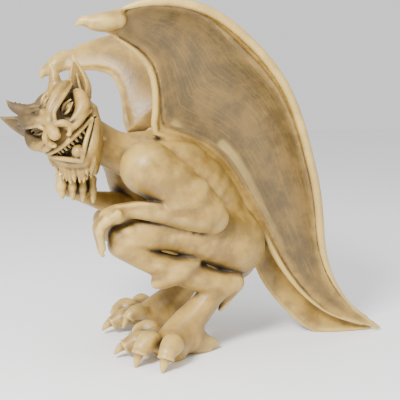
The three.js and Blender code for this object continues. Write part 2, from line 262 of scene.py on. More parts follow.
class Block:
    """A grid of signed distances to the stone's surface, below zero inside it."""

    def __init__(self, low, high, pitch, reach):
        self.pitch = pitch
        self.reach = reach
        self.start = np.floor(np.array(low) / pitch).astype(int)
        self.size = np.ceil(np.array(high) / pitch).astype(int) - self.start + 1
        self.depth = np.full(self.size, reach, np.float32)

    def blank(self):
        """An empty block on the same grid."""
        made = Block((0, 0, 0), (0, 0, 0), self.pitch, self.reach)
        made.start = self.start
        made.size = self.size
        made.depth = np.full(self.size, self.reach, np.float32)
        return made

    def window(self, form):
        first = np.floor((form.low - self.reach) / self.pitch).astype(int) - self.start
        last = np.ceil((form.high + self.reach) / self.pitch).astype(int) - self.start
        first = np.clip(first, 0, self.size)
        last = np.clip(last, 0, self.size)
        where = tuple(slice(a, b) for a, b in zip(first, last))
        axes = [
            ((np.arange(a, b) + s) * self.pitch).astype(np.float32)
            for a, b, s in zip(first, last, self.start)
        ]
        return where, np.meshgrid(*axes, indexing="ij", sparse=True)

    def add(self, form, blend=0.0):
        """Joins a form to the stone, with a fillet of about that radius."""
        where, places = self.window(form)
        new = form.distance(*places).astype(np.float32)
        self.depth[where] = joined(self.depth[where], new, blend)

    def cut(self, form, blend=0.0):
        """Takes a form out of the stone."""
        where, places = self.window(form)
        new = form.distance(*places).astype(np.float32)
        self.depth[where] = -joined(-self.depth[where], new, blend)

    def add_skin(self, points, quads, blend):
        """Joins a closed skin of quads to the stone."""
        band = self.reach / self.pitch
        transform = openvdb.createLinearTransform(voxelSize=self.pitch)
        level = openvdb.FloatGrid.createLevelSetFromPolygons(
            points.astype(np.float32), quads=quads.astype(np.uint32), transform=transform, halfWidth=band
        )
        new = np.empty(self.size, np.float32)
        level.copyToArray(new, ijk=tuple(int(s) for s in self.start))
        self.depth = joined(self.depth, new, blend)

    def sample(self, places):
        """The grid's distances at places, read between its points."""
        spot = places / self.pitch - self.start
        spot = np.clip(spot, 0, self.size - 1.001)
        cell = np.floor(spot).astype(int)
        part = (spot - cell).astype(np.float32)
        value = 0
        for corner in np.ndindex(2, 2, 2):
            weight = np.prod(np.where(np.array(corner), part, 1 - part), axis=1)
            value = value + weight * self.depth[tuple((cell + corner).T)]
        return value

    def skin(self):
        """The stone's surface as points and quads."""
        grid = openvdb.FloatGrid(self.reach)
        grid.copyFromArray(self.depth)
        grid.transform = openvdb.createLinearTransform(voxelSize=self.pitch)
        points, _, quads = grid.convertToPolygons(isovalue=0.0, adaptivity=0.0)
        return points + self.start * self.pitch, quads


def joined(a, b, blend):
    """The nearer of two distances, filleted where they are alike."""
    if not blend:
        return np.minimum(a, b)
    overlap = np.maximum(blend - np.abs(a - b), 0) / blend
    return np.minimum(a, b) - overlap**2 * blend / 4


# ---------------------------------------------------------------- wings

WING_THICKNESS = 8.0
WING_BOWL = 34.0
WING_WIDEST = 180.0
WING_ROWS = 120
WING_COLUMNS = 24
SHOULDER_SHARE = 0.3  # share of a wing's rows that end on its front edge
WING_FILLET = 4.0
WING_TIP_THICKNESS = 3
BEAD_STATION = 6  # rows from one station of a roll or a groove to the next
FULL_BEAD_WIDTH = 60  # a narrower wing has slimmer rolls
SLIMMEST_BEAD = 0.35
BEADS = [
    # column, how far behind the hollow face, radius, fillet
    (0, 2.5, 5.2, 2.5),
    (-1, 2.0, 4.0, 3),
]
GROOVES = [(2, 1.5), (WING_COLUMNS - 3, 1.3)]  # column, radius
GROOVE_FILLET = 2.5


def evenly(line, count):
    """That many points evenly spaced along a line."""
    length = np.concatenate([[0], np.cumsum(np.linalg.norm(np.diff(line, axis=0), axis=1))])
    marks = np.linspace(0, length[-1], count)
    return np.stack([np.interp(marks, length, line[:, i]) for i in range(3)], axis=1)


def wing_sheet(side):
    """Rows of points over a wing's hollow face, the way its back lies, and how far in each is."""
    edges = WINGS[side]
    front_rows = int(SHOULDER_SHARE * WING_ROWS)
    outer = evenly(curve_through(edges["rim"], 16), WING_ROWS)
    front = evenly(curve_through(edges["front"], 16), front_rows + 1)
    back = evenly(curve_through([edges["front"][-1], *edges["back"]], 16), WING_ROWS - front_rows)
    inner = np.vstack([front[:-1], back])
    across = inner - outer
    width = np.linalg.norm(across, axis=1, keepdims=True)
    backwards = np.zeros_like(across)
    backwards[:, 0] = -side
    backwards -= across * (backwards * across).sum(1, keepdims=True) / width**2
    backwards /= np.linalg.norm(backwards, axis=1, keepdims=True)
    along = np.linspace(0, 1, WING_ROWS)[:, None]
    fade = np.sqrt(np.clip(np.sin(math.pi * along**0.8), 0, 1))
    bowl = WING_BOWL * np.minimum(1, width / WING_WIDEST) * fade
    share = np.linspace(0, 1, WING_COLUMNS)
    hollow = bowl * np.sin(math.pi * share) ** 0.8
    sheet = outer[:, None] + across[:, None] * share[:, None] + backwards[:, None] * hollow[..., None]
    inwards = np.minimum(share, 1 - share) * width
    return sheet, backwards[:, None], inwards


def closed_sheet(front, back):
    """Points and quads of the closed slab between two sheets."""
    rows, columns = front.shape[:2]
    ring = np.concatenate([front, back[:, ::-1]], axis=1)
    count = 2 * columns
    index = np.arange(rows * count).reshape(rows, count)
    turned = np.roll(index, -1, axis=1)
    sides = np.stack([index[:-1], turned[:-1], turned[1:], index[1:]], axis=-1).reshape(-1, 4)
    caps = []
    for row, order in ((index[0], (0, 3, 2, 1)), (index[-1], (0, 1, 2, 3))):
        for i in range(columns - 1):
            corners = (row[i], row[i + 1], row[count - 2 - i], row[count - 1 - i])
            caps.append([corners[j] for j in order])
    return ring.reshape(-1, 3), np.vstack([sides, caps])


def carve_wing(block, side):
    sheet, backwards, _ = wing_sheet(side)
    width = np.linalg.norm(sheet[:, -1] - sheet[:, 0], axis=1)
    thickness = np.minimum(WING_THICKNESS, WING_TIP_THICKNESS + width / 4)[:, None, None]
    points, quads = closed_sheet(sheet, sheet + backwards * thickness)
    block.add_skin(points, quads, WING_FILLET)

    slim = np.clip(width / FULL_BEAD_WIDTH, SLIMMEST_BEAD, 1)
    for column, behind, radius, fillet in BEADS:
        edge = sheet[:, column] + backwards[:, 0] * behind
        bead = np.column_stack([edge, radius * slim])[::BEAD_STATION]
        block.add(Strand(bead, 2), fillet)
    for column, radius in GROOVES:
        line = sheet[:, column]
        groove = np.column_stack([line, radius * slim])[BEAD_STATION : WING_ROWS - 8 : BEAD_STATION]
        block.cut(Strand(groove, 2), GROOVE_FILLET)
    block.add(Strand(WINGS[side]["wrist"]), 5)
    block.add(Strand(WINGS[side]["claw"]), 1.5)
    knuckle = WINGS[side]["claw"][0]
    axis = np.subtract(WINGS[side]["claw"][1][:3], knuckle[:3])
    block.add(Ring(np.add(knuckle[:3], axis * 0.35), axis, 6.6, 1.5), 1)


# ---------------------------------------------------------------- body


def carve_trunk(block):
    block.add(Strand(TORSO))
    block.add(Strand(NECK), 8)
    for side in BOTH:
        block.add(Egg((side * 33, -36, 238), (19, 32, 19)), 8)
    # the line of the spine
    spine = [(0, -62, 268, 3), (0, -20, 254, 4), (0, 24, 224, 4), (0, 56, 176, 4), (0, 68, 130, 3)]
    block.add(Strand(spine), 9)


def carve_leg(block, side):
    block.add(Strand(sided(THIGH, side)), 9)
    block.add(Egg((side * 34, 38, 122), (30, 32, 30)), 9)
    # kneecap and a smaller lump beside it
    block.add(Egg((side * 64, -116, 150), (13, 10, 13)), 5)
    block.add(Egg((side * 72, -104, 158), (8, 9, 7)), 4)
    leg = block.blank()
    leg.add(Strand(sided(SHIN, side)))
    leg.add(Egg((side * 59, -44, 104), (17, 34, 14), (28, 0, 0)), 6)
    leg.add(Strand(sided(SHANK, side)), 5)
    leg.add(Strand(sided(HEEL, side)), 8)
    hock = [(50, 34, 92, 5), (50, 36, 82, 6), (49, 28, 70, 5), (49, 14, 52, 3.5)]
    leg.add(Strand(sided(hock, side)), 4)
    for x in (60, 66):
        sinew = [(x - 6, -6, 70, 2), (x, -26, 50, 2.5), (x + 2, -44, 34, 2)]
        leg.add(Strand(sided(sinew, side)), 4)
    return leg


def carve_foot(leg, side):
    for *places, size in TOES:
        root, knuckle, cuticle, _ = (np.array(p, float) * (side, 1, 1) for p in places)
        toe = [(*root, size), (*((root + knuckle) / 2 + (0, 0, 1)), size * 0.85), (*knuckle, size)]
        leg.add(Strand([*toe, (*cuticle, size * 0.78)]), 4)
    for *places, size in TOES:
        cuticle, tip = (np.array(p, float) * (side, 1, 1) for p in places[2:])
        axis = tip - cuticle
        axis /= np.linalg.norm(axis)
        mouth = cuticle + axis * size * 0.55
        leg.cut(Egg(mouth, (size * 0.62,) * 3), 1.0)
        leg.add(Ring(mouth - axis, axis, size * 0.64, 1.9), 1.2)
        hook = cuticle + (tip - cuticle) * 0.55 + (0, 0, 3)
        claw = [(*(cuticle - axis * 3), size * 0.5), (*hook, size * 0.44), (*tip, size * 0.18)]
        leg.add(Strand(claw))
    spur = [(52, -4, 14, 6), (46, 6, 9, 5), (43, 12, 5, 2.5)]
    leg.add(Strand(sided(spur, side)), 3)


def carve_left_arm(block):
    arm = block.blank()
    arm.add(Strand(LEFT_UPPER_ARM))
    arm.add(Egg((62, -78, 230), (31, 31, 29)), 8)
    arm.add(Egg((86, -34, 196), (15, 26, 17), (40, 0, 0)), 8)
    arm.add(Egg((78, -46, 188), (17, 22, 15), (30, 0, 0)), 6)
    block.depth = joined(block.depth, arm.depth, 5.0)
    fore = block.blank()
    fore.add(Strand(LEFT_FOREARM))
    fore.add(Egg((84, -28, 172), (15, 30, 13), (-5, 0, 0)), 6)
    fore.add(Egg((80, 2, 170), (10, 10, 12)), 5)
    for x in (74, 80, 86):
        fore.add(Strand([(x, -60, 187, 2), (x, -92, 190, 2), (x, -116, 187, 2)]), 4)
    carve_hanging_hand(fore)
    block.depth = joined(block.depth, fore.depth, 1.2)


FINGERS = 4
FIRST_HANGING_FINGER = 64  # mm, its x; the others follow towards the left side
HANGING_FINGER_SPACING = 9
LONGEST_DROP = 26
CURLED_FINGER = (26, -174, 206)  # the first finger's middle joint
TO_NEXT_CURLED_FINGER = (-2.6, 12.5, -2.4)


def carve_hanging_hand(fore):
    fore.add(Egg((79, -122, 177), (17, 15, 10)), 5)
    for i in range(FINGERS):
        x = FIRST_HANGING_FINGER + HANGING_FINGER_SPACING * i
        drop = LONGEST_DROP - 3 * abs(i - 1.5)
        finger = [
            (x, -118, 180, 5.5),
            (x, -133, 170, 5.6),
            (x - 1, -138, 160, 5),
            (x - 2, -135, 163 - drop, 4),
        ]
        fore.add(Strand(finger), 1.2)
        for y, z, radius in ((-130, 174, 6.3), (-138, 161, 5.8)):
            fore.add(Egg((x, y, z), (radius, radius - 1, radius - 0.6)), 2)
        claw = [
            (x - 2, -136, 166 - drop, 3.2),
            (x - 2, -136, 158 - drop, 2.2),
            (x - 2, -132, 154 - drop, 0.8),
        ]
        fore.add(Strand(claw), 0.8)


def carve_right_arm(block):
    block.add(Strand(RIGHT_UPPER_ARM), 6)
    block.add(Egg((-60, -84, 232), (29, 30, 27)), 8)
    fore = block.blank()
    fore.add(Strand(RIGHT_FOREARM))
    fore.add(Egg((6, -156, 203), (13, 24, 14)), 6)
    for i in range(FINGERS):
        x, y, z = (first + step * i for first, step in zip(CURLED_FINGER, TO_NEXT_CURLED_FINGER))
        radius = 5.9 - 0.35 * i
        finger = [
            (x - 14, y + 2, z + 6, radius),
            (x - 2, y, z + 13, radius),
            (x + 3, y, z + 3, radius * 0.9),
            (x, y + 1, z - 8, radius * 0.8),
        ]
        fore.add(Strand(finger), 1.0)
        fore.add(Egg((x - 1, y, z + 13), (radius + 0.8,) * 3), 1.5)
        fore.add(Egg((x + 3, y, z + 1), (radius + 0.3,) * 3), 1.5)
        fore.add(Strand([(x, y + 1, z - 8, radius * 0.7), (x - 1, y + 1, z - 14, 2.2)]), 1.0)
    block.depth = joined(block.depth, fore.depth, 1.5)


# The block's low x face cuts the outer toe of the right foot short, which TOES takes to x = -117.
BODY_LOW = (-100, -192, -4)
BODY_HIGH = (124, 250, 424)
BODY_REACH = 9.0  # mm from the surface out to which distances are kept


def carve_body(pitch):
    block = Block(BODY_LOW, BODY_HIGH, pitch, BODY_REACH)
    carve_trunk(block)
    legs = [carve_leg(block, side) for side in BOTH]
    for side in BOTH:
        carve_wing(block, side)
    for leg, side in zip(legs, BOTH):
        carve_foot(leg, side)
        block.depth = joined(block.depth, leg.depth, 1.5)
    carve_left_arm(block)
    carve_right_arm(block)
    height = (np.arange(block.size[2]) + block.start[2]) * pitch
    block.depth = np.maximum(block.depth, -height.astype(np.float32))
    return block


# ---------------------------------------------------------------- head
# In the head's own frame: x its left, -y out of the face, z up.

DOWN = np.array((-math.sin(HEAD_TILT), 0, -math.cos(HEAD_TILT)))


def head_matrix():
    turned = Matrix.Rotation(HEAD_TURN, 4, "Z") @ Matrix.Rotation(-HEAD_TILT, 4, "Y")
    return Matrix.Translation(HEAD_CENTRE) @ turned


def carve_skull(head):
    head.add(Egg((0, 4, 8), (35, 36, 29)))
    head.add(Egg((0, -6, -24), (28, 25, 26)), 8)
    for side in BOTH:
        head.add(Egg((side * 17, -22, 19), (14, 13, 12)), 6)
        jaw = [
            (side * 35, -2, -14, 8),
            (side * 28, -10, -34, 8),
            (side * 14, -20, -51, 8),
            (0, -24, -58, 8),
        ]
        head.add(Strand(jaw), 5)
        cheek = [
            (side * 32, -6, 15, 5),
            (side * 38, -15, 5, 7.5),
            (side * 37, -23, -7, 8.5),
            (side * 29, -29, -14, 7),
            (side * 19, -35, -16, 4.5),
        ]
        head.add(Strand(cheek), 4)


def carve_face(head):
    for side in BOTH:
        socket = Egg((side * 21, -39, -1), (18, 14, 11), (0, side * -26, 0))
        head.cut(socket, 3)
        brow = [
            (side * 37, -15, 25, 3),
            (side * 30, -28, 21, 6.5),
            (side * 20, -37, 14, 7),
            (side * 10, -43, 7, 6),
            (side * 3, -45, -1, 5),
        ]
        head.add(Strand(brow), 2)
        edge = [
            (side * 39, -17, 20, 1.5),
            (side * 33, -31, 14, 2.6),
            (side * 23, -41, 8, 2.8),
            (side * 13, -47, 2, 2.6),
            (side * 8, -48, -6, 2.4),
        ]
        head.add(Strand(edge), 1.5)
        head.add(Egg((side * 22, -23, 0), (8, 7, 6)), 1)
        for lift, radius in ((4.2, 2.0), (-4.2, 1.8)):
            lid = [
                (side * 13, -28, -2 + lift * 0.2, radius * 0.6),
                (side * 21, -30.5, lift, radius),
                (side * 30, -26, 3 + lift * 0.5, radius * 0.6),
            ]
            head.add(Strand(lid), 0.8)
    bridge = [(0, -41, 9, 6), (0, -46, -4, 5.5), (0, -51, -13, 6.5), (0, -53, -19, 7)]
    head.add(Strand(bridge), 3)
    for side in BOTH:
        wing = [
            (side * 5, -49, -10, 3.5),
            (side * 13, -46, -14, 4.4),
            (side * 16, -42, -21, 4),
            (side * 11, -45, -27, 3),
        ]
        head.add(Strand(wing), 2)
        head.cut(Egg((side * 10, -51, -22), (4.8, 8, 5)), 1)
    for side in BOTH:
        for i in range(3):
            furrow = [
                (side * 2, -38 + i, 10 + 5 * i, 2),
                (side * 8, -37 + i, 14 + 5 * i, 2.2),
                (side * 15, -33 + i, 17 + 5 * i, 1.4),
            ]
            head.add(Strand(furrow), 1.5)


TEETH = 10
FIRST_TOOTH = -0.72  # shares of the mouth line
TOOTH_SPACING = 0.16
HORN_RINGS = (0.25, 0.42, 0.58, 0.72)  # shares of a horn's length


def mouth_line(share, top):
    """A place along the mouth: share runs from -1 at one corner to 1 at the other."""
    front = 38 - 21 * share**2
    if top:
        return (34 * share, -front, -25 - 7 * (1 - share**2))
    return (34 * share, -front + 6 * (1 - abs(share)), -26 - 32 * (1 - abs(share)) ** 0.9)


def carve_mouth(head):
    shares = np.linspace(-1, 1, 13)
    for share in shares:
        x, y, high = mouth_line(share, True)
        low = mouth_line(share, False)[2]
        tall = max((high - low) / 2, 1.2)
        head.cut(Egg((x, y + 3, (high + low) / 2), (4.5, 16 - 6 * abs(share), tall)), 1)
    # the smile's folds, from the nostrils round the corners of the mouth
    for side in BOTH:
        fold = [
            (side * 14, -43, -24, 3),
            (side * 23, -38, -23, 4),
            (side * 32, -28, -19, 3.6),
            (side * 38, -17, -17, 2.4),
        ]
        head.add(Strand(fold), 1.5)
    head.add(Strand([(*mouth_line(s, True), 3.1 - 0.8 * abs(s)) for s in shares], 2), 0.8)
    head.add(Strand([(*mouth_line(s, False), 3.2 - 0.9 * abs(s)) for s in shares], 2), 0.8)
    for i in range(TEETH):
        x, y, z = mouth_line(FIRST_TOOTH + TOOTH_SPACING * i, True)
        head.add(Strand([(x, y + 8, z + 1, 2.2), (x, y + 8, z - 3, 1.8), (x, y + 8, z - 6, 0.9)]), 0.6)
    head.add(Egg((2, -28, -47), (8, 9, 8)), 1.5)


def carve_horn(head, side):
    horn = [
        (side * 15, -19, 18, 9.5),
        (side * 25, -22, 31, 7.5),
        (side * 32, -22.5, 42, 4.8),
        (side * 34, -22, 52, 1),
    ]
    head.add(Strand(horn), 5)
    for share in HORN_RINGS:
        x, z = 15 + 19 * share**0.8, 18 + 34 * share
        head.add(Ring((side * x, -21.5, z), (side * 0.55, -0.05, 0.84), 8.6 * (1 - share) + 0.6, 1.0), 1.2)


def carve_ear(head, side):
    wide = (side * 0.8, 0.15, -0.6)
    leaf = [
        (side * 33, 4, 6, 12, 7),
        (side * 40, 1, 16, 13.5, 7),
        (side * 48, -3, 28, 9.5, 5.5),
        (side * 54, -6.5, 38, 4.5, 3),
        (side * 58, -9, 46, 0.9, 0.9),
    ]
    head.add(Strand(leaf, 4, wide), 2)
    hollow = [
        (side * 36, -7, 9, 8.5, 7.5),
        (side * 41.5, -8, 17, 10, 7.5),
        (side * 48.5, -9.5, 28, 6.6, 5.2),
        (side * 53.5, -10.5, 37, 2.4, 2.4),
    ]
    head.cut(Strand(hollow, 4, wide), 1)
    fold = [(side * 37, 0, 8, 2.2), (side * 42, -2, 18, 1.8), (side * 47, -4, 27, 1.0)]
    head.add(Strand(fold), 1.5)


BEARD_SEED = 7
FRONT_JAW_LINE = [
    (38, -2, 4),
    (36, -3, -14),
    (30, -10, -34),
    (14, -20, -54),
    (-8, -20, -56),
    (-26, -12, -40),
    (-33, -2, -20),
]
BACK_JAW_LINE = [(35, 8, 0), (33, 8, -20), (26, 4, -38), (8, -6, -56), (-14, -6, -52)]
BEARD_ROWS = [
    # line along the jaw, number of locks, length, radius
    (FRONT_JAW_LINE, 24, 21, 4.2),
    (BACK_JAW_LINE, 17, 27, 4.4),
]


def carve_beard(head):
    chance = np.random.default_rng(BEARD_SEED)
    for line, count, length, radius in BEARD_ROWS:
        roots = evenly(curve_through(line, 8), count)
        for i, root in enumerate(roots):
            long = length * (0.75 + 0.35 * math.sin(math.pi * i / (count - 1))) * chance.uniform(0.85, 1.15)
            sway = chance.uniform(-2.5, 2.5, 3) * (1, 1, 0.2)
            lock = [
                (*root, radius * 0.9),
                (*(root + DOWN * long * 0.35 + sway * 0.4), radius),
                (*(root + DOWN * long * 0.7 + sway), radius * 0.75),
                (*(root + DOWN * long + sway * 0.3), 0.8),
            ]
            head.add(Strand(lock, 3), 1.6)


HEAD_LOW = (-72, -62, -92)
HEAD_HIGH = (72, 48, 66)
HEAD_REACH = 6.0


def carve_head(pitch):
    head = Block(HEAD_LOW, HEAD_HIGH, pitch, HEAD_REACH)
    carve_skull(head)
    carve_face(head)
    carve_mouth(head)
    for side in BOTH:
        carve_horn(head, side)
        carve_ear(head, side)
    carve_beard(head)
    return head


# ---------------------------------------------------------------- from blocks to one mesh


def thinned(name, points, quads, triangles):
    """A mesh of the skin in metres, brought down to that many triangles."""
    a, b, c, d = (points[quads[:, i]] for i in range(4))
    volume = (a * np.cross(b, c)).sum() + (a * np.cross(c, d)).sum()
    outwards = quads if volume > 0 else quads[:, ::-1]
    mesh = bpy.data.meshes.new(name)
    mesh.from_pydata(points * MILLIMETRE, [], outwards)
    made = bpy.data.objects.new(name, mesh)
    bpy.context.scene.collection.objects.link(made)
    share = triangles / (2 * len(quads))
    if share < 1:
        fewer = made.modifiers.new("Fewer faces", "DECIMATE")
        fewer.ratio = share
    return made


def applied(made):
    """The object with its modifiers applied to its mesh."""
    depsgraph = bpy.context.evaluated_depsgraph_get()
    mesh = bpy.data.meshes.new_from_object(made.evaluated_get(depsgraph))
    made.modifiers.clear()
    made.data = mesh
    return made


def blurred(full, width):
    """A grid of 0 to 1 averaged three times over boxes of that many points."""
    for axis in (0, 1, 2) * 3:
        pad = [(0, 0)] * 3
        pad[axis] = (width // 2 + 1, width // 2)
        total = np.cumsum(np.pad(full, pad, mode="edge"), axis=axis, dtype=np.float32)
        upper = np.take(total, range(width, total.shape[axis]), axis=axis)
        lower = np.take(total, range(0, total.shape[axis] - width), axis=axis)
        full = (upper - lower) / width
    return full


def crowding(block, width):
    """How much stone lies about each place of a block, from 0 to 1."""
    about = block.blank()
    about.depth = blurred((block.depth < 0).astype(np.float32), width)
    return about


def store(mesh, name, values):
    layer = mesh.attributes.new(name, "FLOAT", "POINT")
    layer.data.foreach_set("value", np.asarray(values, np.float32))


def read_vectors(data, key):
    flat = np.empty(len(data) * 3, np.float32)
    data.foreach_get(key, flat)
    return flat.reshape(-1, 3)


ON_HEAD = 1.5  # mm from the head's own surface
# How hollow the surface is: grid points averaged, and mm off the surface that they are read at.
WIDE_LOOK = (7, 7)
MIDDLE_LOOK = (3, 3)
FINE_LOOK = (3, 1.0)
FINE_HEAD_LOOK = (3, 0.6)
MIDDLE_HEAD_LOOK = (7, 1.4)
NEAR_WING = 14  # mm from a wing's hollow face
SKIN_STARTS = 7  # mm in from a wing's edges, where its dark skin paint and painted shade begin
SKIN_FULL = 8  # mm further in, where it is whole
SKIN_DEPTH = 6  # mm off the hollow face, past which there is none


def crowded(block, places, normals, look):
    width, off = look
    return crowding(block, width).sample(places + normals * off)


def mark_surface(mesh, body, head):
    """Stores how hollow each point of the surface is, near and far, and where the wings' dark skin paint and
    painted shade lie.
    """
    mesh.update()
    places = read_vectors(mesh.vertices, "co") / MILLIMETRE - np.array(FROM_CARVER)
    normals = read_vectors(mesh.vertex_normals, "vector")
    into_head = np.array(head_matrix().inverted())
    local = places @ into_head[:3, :3].T + into_head[:3, 3]
    local_normals = normals @ into_head[:3, :3].T

    body_low = body.start * body.pitch
    body_high = (body.start + body.size) * body.pitch
    coarse = Block(body_low, body_high, 2 * body.pitch, BODY_REACH)
    axes = [(np.arange(n) + s) * coarse.pitch for n, s in zip(coarse.size, coarse.start)]
    grid = np.stack(np.meshgrid(*axes, indexing="ij"), axis=-1).reshape(-1, 3)
    in_body = body.sample(grid) < 0
    in_head_frame = grid @ into_head[:3, :3].T + into_head[:3, 3]
    low = (head.start + 1) * head.pitch
    high = (head.start + head.size - 2) * head.pitch
    near = np.all((in_head_frame > low) & (in_head_frame < high), axis=1)
    in_head = np.zeros(len(grid), bool)
    in_head[near] = head.sample(in_head_frame[near]) < 0
    coarse.depth = np.where(in_body | in_head, -1.0, 1.0).reshape(coarse.size).astype(np.float32)

    on_head = np.all((local > low) & (local < high), axis=1)
    on_head &= np.abs(head.sample(local)) < ON_HEAD
    wide = crowded(coarse, places, normals, WIDE_LOOK)
    middle = crowded(coarse, places, normals, MIDDLE_LOOK)
    fine = crowded(body, places, normals, FINE_LOOK)
    fine_head = crowded(head, local, local_normals, FINE_HEAD_LOOK)
    middle_head = crowded(head, local, local_normals, MIDDLE_HEAD_LOOK)
    store(mesh, "hollow_wide", wide)
    store(mesh, "hollow_middle", np.where(on_head, middle_head, middle))
    store(mesh, "hollow_fine", np.where(on_head, fine_head, fine))

    # Where the wings' hollow faces get their darker paint together with painted shade.
    skin = np.zeros(len(places))
    span = np.zeros(len(places))
    reach = np.zeros(len(places))
    for side in BOTH:
        sheet, backwards, inwards = wing_sheet(side)
        tree = kdtree.KDTree(sheet.shape[0] * sheet.shape[1])
        for i, point in enumerate(sheet.reshape(-1, 3)):
            tree.insert(point, i)
        tree.balance()
        for i in np.flatnonzero(~on_head):
            _, nearest, gap = tree.find(places[i])
            if gap < NEAR_WING:
                row, column = divmod(nearest, WING_COLUMNS)
                facing = -(normals[i] @ backwards[row, 0])
                inside = min(1, max(0, (inwards[row, column] - SKIN_STARTS) / SKIN_FULL))
                inside *= min(1, max(0, facing * 3))
                skin[i] = max(skin[i], inside * min(1, max(0, (SKIN_DEPTH - gap) / 2)))
                span[i] = column / (WING_COLUMNS - 1)
                reach[i] = row / (WING_ROWS - 1)
    store(mesh, "wing_skin_and_shade", skin)
    store(mesh, "wing_span", span)
    store(mesh, "wing_reach", reach)


def make_gargoyle(carving):
    body = carve_body(carving.body_pitch / MILLIMETRE)
    head = carve_head(carving.head_pitch / MILLIMETRE)
    points, quads = body.skin()
    figure = thinned("gargoyle_figure", points, quads, carving.body_triangles)
    applied(figure)
    points, quads = head.skin()
    face = thinned("gargoyle_head", points, quads, carving.head_triangles)
    applied(face)
    place = head_matrix()
    place.translation *= MILLIMETRE
    face.data.transform(place)
    union = figure.modifiers.new("Head", "BOOLEAN")
    union.operation = "UNION"
    union.solver = "MANIFOLD"
    union.object = face
    applied(figure)
    bpy.data.objects.remove(face)
    figure.data.transform(Matrix.Translation(FROM_CARVER * MILLIMETRE))
    figure.data.shade_smooth()
    figure.data.materials.clear()
    figure.data.polygons.foreach_set("material_index", np.zeros(len(figure.data.polygons), np.int32))
    mark_surface(figure.data, body, head)
    return figure


# ---------------------------------------------------------------- finish


def group_of(name, inputs, outputs):
    """An empty shader group with its sockets, its input node and its output node."""
    tree = bpy.data.node_groups.new(name, "ShaderNodeTree")
    for label, kind, value in inputs:
        made = tree.interface.new_socket(label, in_out="INPUT", socket_type=kind)
        made.default_value = value
    for label, kind in outputs:
        tree.interface.new_socket(label, in_out="OUTPUT", socket_type=kind)
    return tree, tree.nodes.new("NodeGroupInput"), tree.nodes.new("NodeGroupOutput")


def wire(tree, node_type, inputs=None, **settings):
    """A node with its settings, its inputs set to values or linked to sockets."""
    node = tree.nodes.new(node_type)
    for key, value in settings.items():
        setattr(node, key, value)
    for key, value in (inputs or {}).items():
        if isinstance(value, bpy.types.NodeSocket):
            tree.links.new(value, node.inputs[key])
        else:
            node.inputs[key].default_value = value
    return node


def maths(tree, operation, a, b=0.5, clamp=False):
    return wire(tree, "ShaderNodeMath", {0: a, 1: b}, operation=operation, use_clamp=clamp).outputs[0]


def ranged(tree, value, low, high, to_low=0.0, to_high=1.0):
    """A value spread from one range to another, smoothly."""
    inputs = {"Value": value, "From Min": low, "From Max": high, "To Min": to_low, "To Max": to_high}
    return wire(tree, "ShaderNodeMapRange", inputs, interpolation_type="SMOOTHSTEP").outputs["Result"]


def attribute(tree, name):
    return wire(tree, "ShaderNodeAttribute", attribute_name=name).outputs["Fac"]


def mixed(tree, share, a, b, blend="MIX"):
    node = wire(tree, "ShaderNodeMix", data_type="RGBA", blend_type=blend)
    for key, value in ((0, share), (6, a), (7, b)):
        if isinstance(value, bpy.types.NodeSocket):
            tree.links.new(value, node.inputs[key])
        else:
            node.inputs[key].default_value = value
    return node.outputs[2]


# Measures of crowding at which the dark wash and painted shade start and are full, and at which wear starts
# and is full.
WIDE_HOLLOW = (0.30, 0.52)
MIDDLE_HOLLOW = (0.30, 0.50)
CREASE = (0.37, 0.54)
PROUD = (0.27, 0.12)
ROUND = (0.24, 0.12)
PATCHES_SHIFT = 0.16
EDGE_WEAR = 0.8


def wash_shade_and_wear_group():
    """Dark antique wash together with painted shade in the hollows, and pale wear on what stands proud, as
    two masks.
    """
    inputs = [("Wash and shade", "NodeSocketFloat", 1.0), ("Wear", "NodeSocketFloat", 1.0)]
    outputs = [("Hollows", "NodeSocketFloat"), ("Edges", "NodeSocketFloat")]
    tree, given, out = group_of("Hollows and edges", inputs, outputs)
    wide = attribute(tree, "hollow_wide")
    middle = attribute(tree, "hollow_middle")
    fine = attribute(tree, "hollow_fine")
    patches = wire(tree, "ShaderNodeTexNoise", {"Scale": 55.0, "Detail": 5.0, "Roughness": 0.6})
    shift = maths(tree, "MULTIPLY", maths(tree, "SUBTRACT", patches.outputs["Fac"], 0.5), PATCHES_SHIFT)
    deep = ranged(tree, maths(tree, "ADD", wide, shift), *WIDE_HOLLOW)
    near = ranged(tree, maths(tree, "ADD", middle, shift), *MIDDLE_HOLLOW)
    crease = ranged(tree, maths(tree, "ADD", fine, shift), *CREASE)
    dark = maths(tree, "MAXIMUM", maths(tree, "MULTIPLY", deep, 0.75), maths(tree, "MULTIPLY", near, 0.9))
    dark = maths(tree, "MAXIMUM", dark, maths(tree, "MULTIPLY", crease, 0.95))
    tree.links.new(maths(tree, "MULTIPLY", dark, given.outputs["Wash and shade"], True), out.inputs["Hollows"])
    proud = maths(tree, "MULTIPLY", ranged(tree, maths(tree, "ADD", fine, shift), *PROUD), 0.75)
    round_forms = maths(tree, "MULTIPLY", ranged(tree, middle, *ROUND), 0.65)
    edges = maths(tree, "MULTIPLY", maths(tree, "MAXIMUM", proud, round_forms), given.outputs["Wear"], True)
    tree.links.new(edges, out.inputs["Edges"])
    return tree


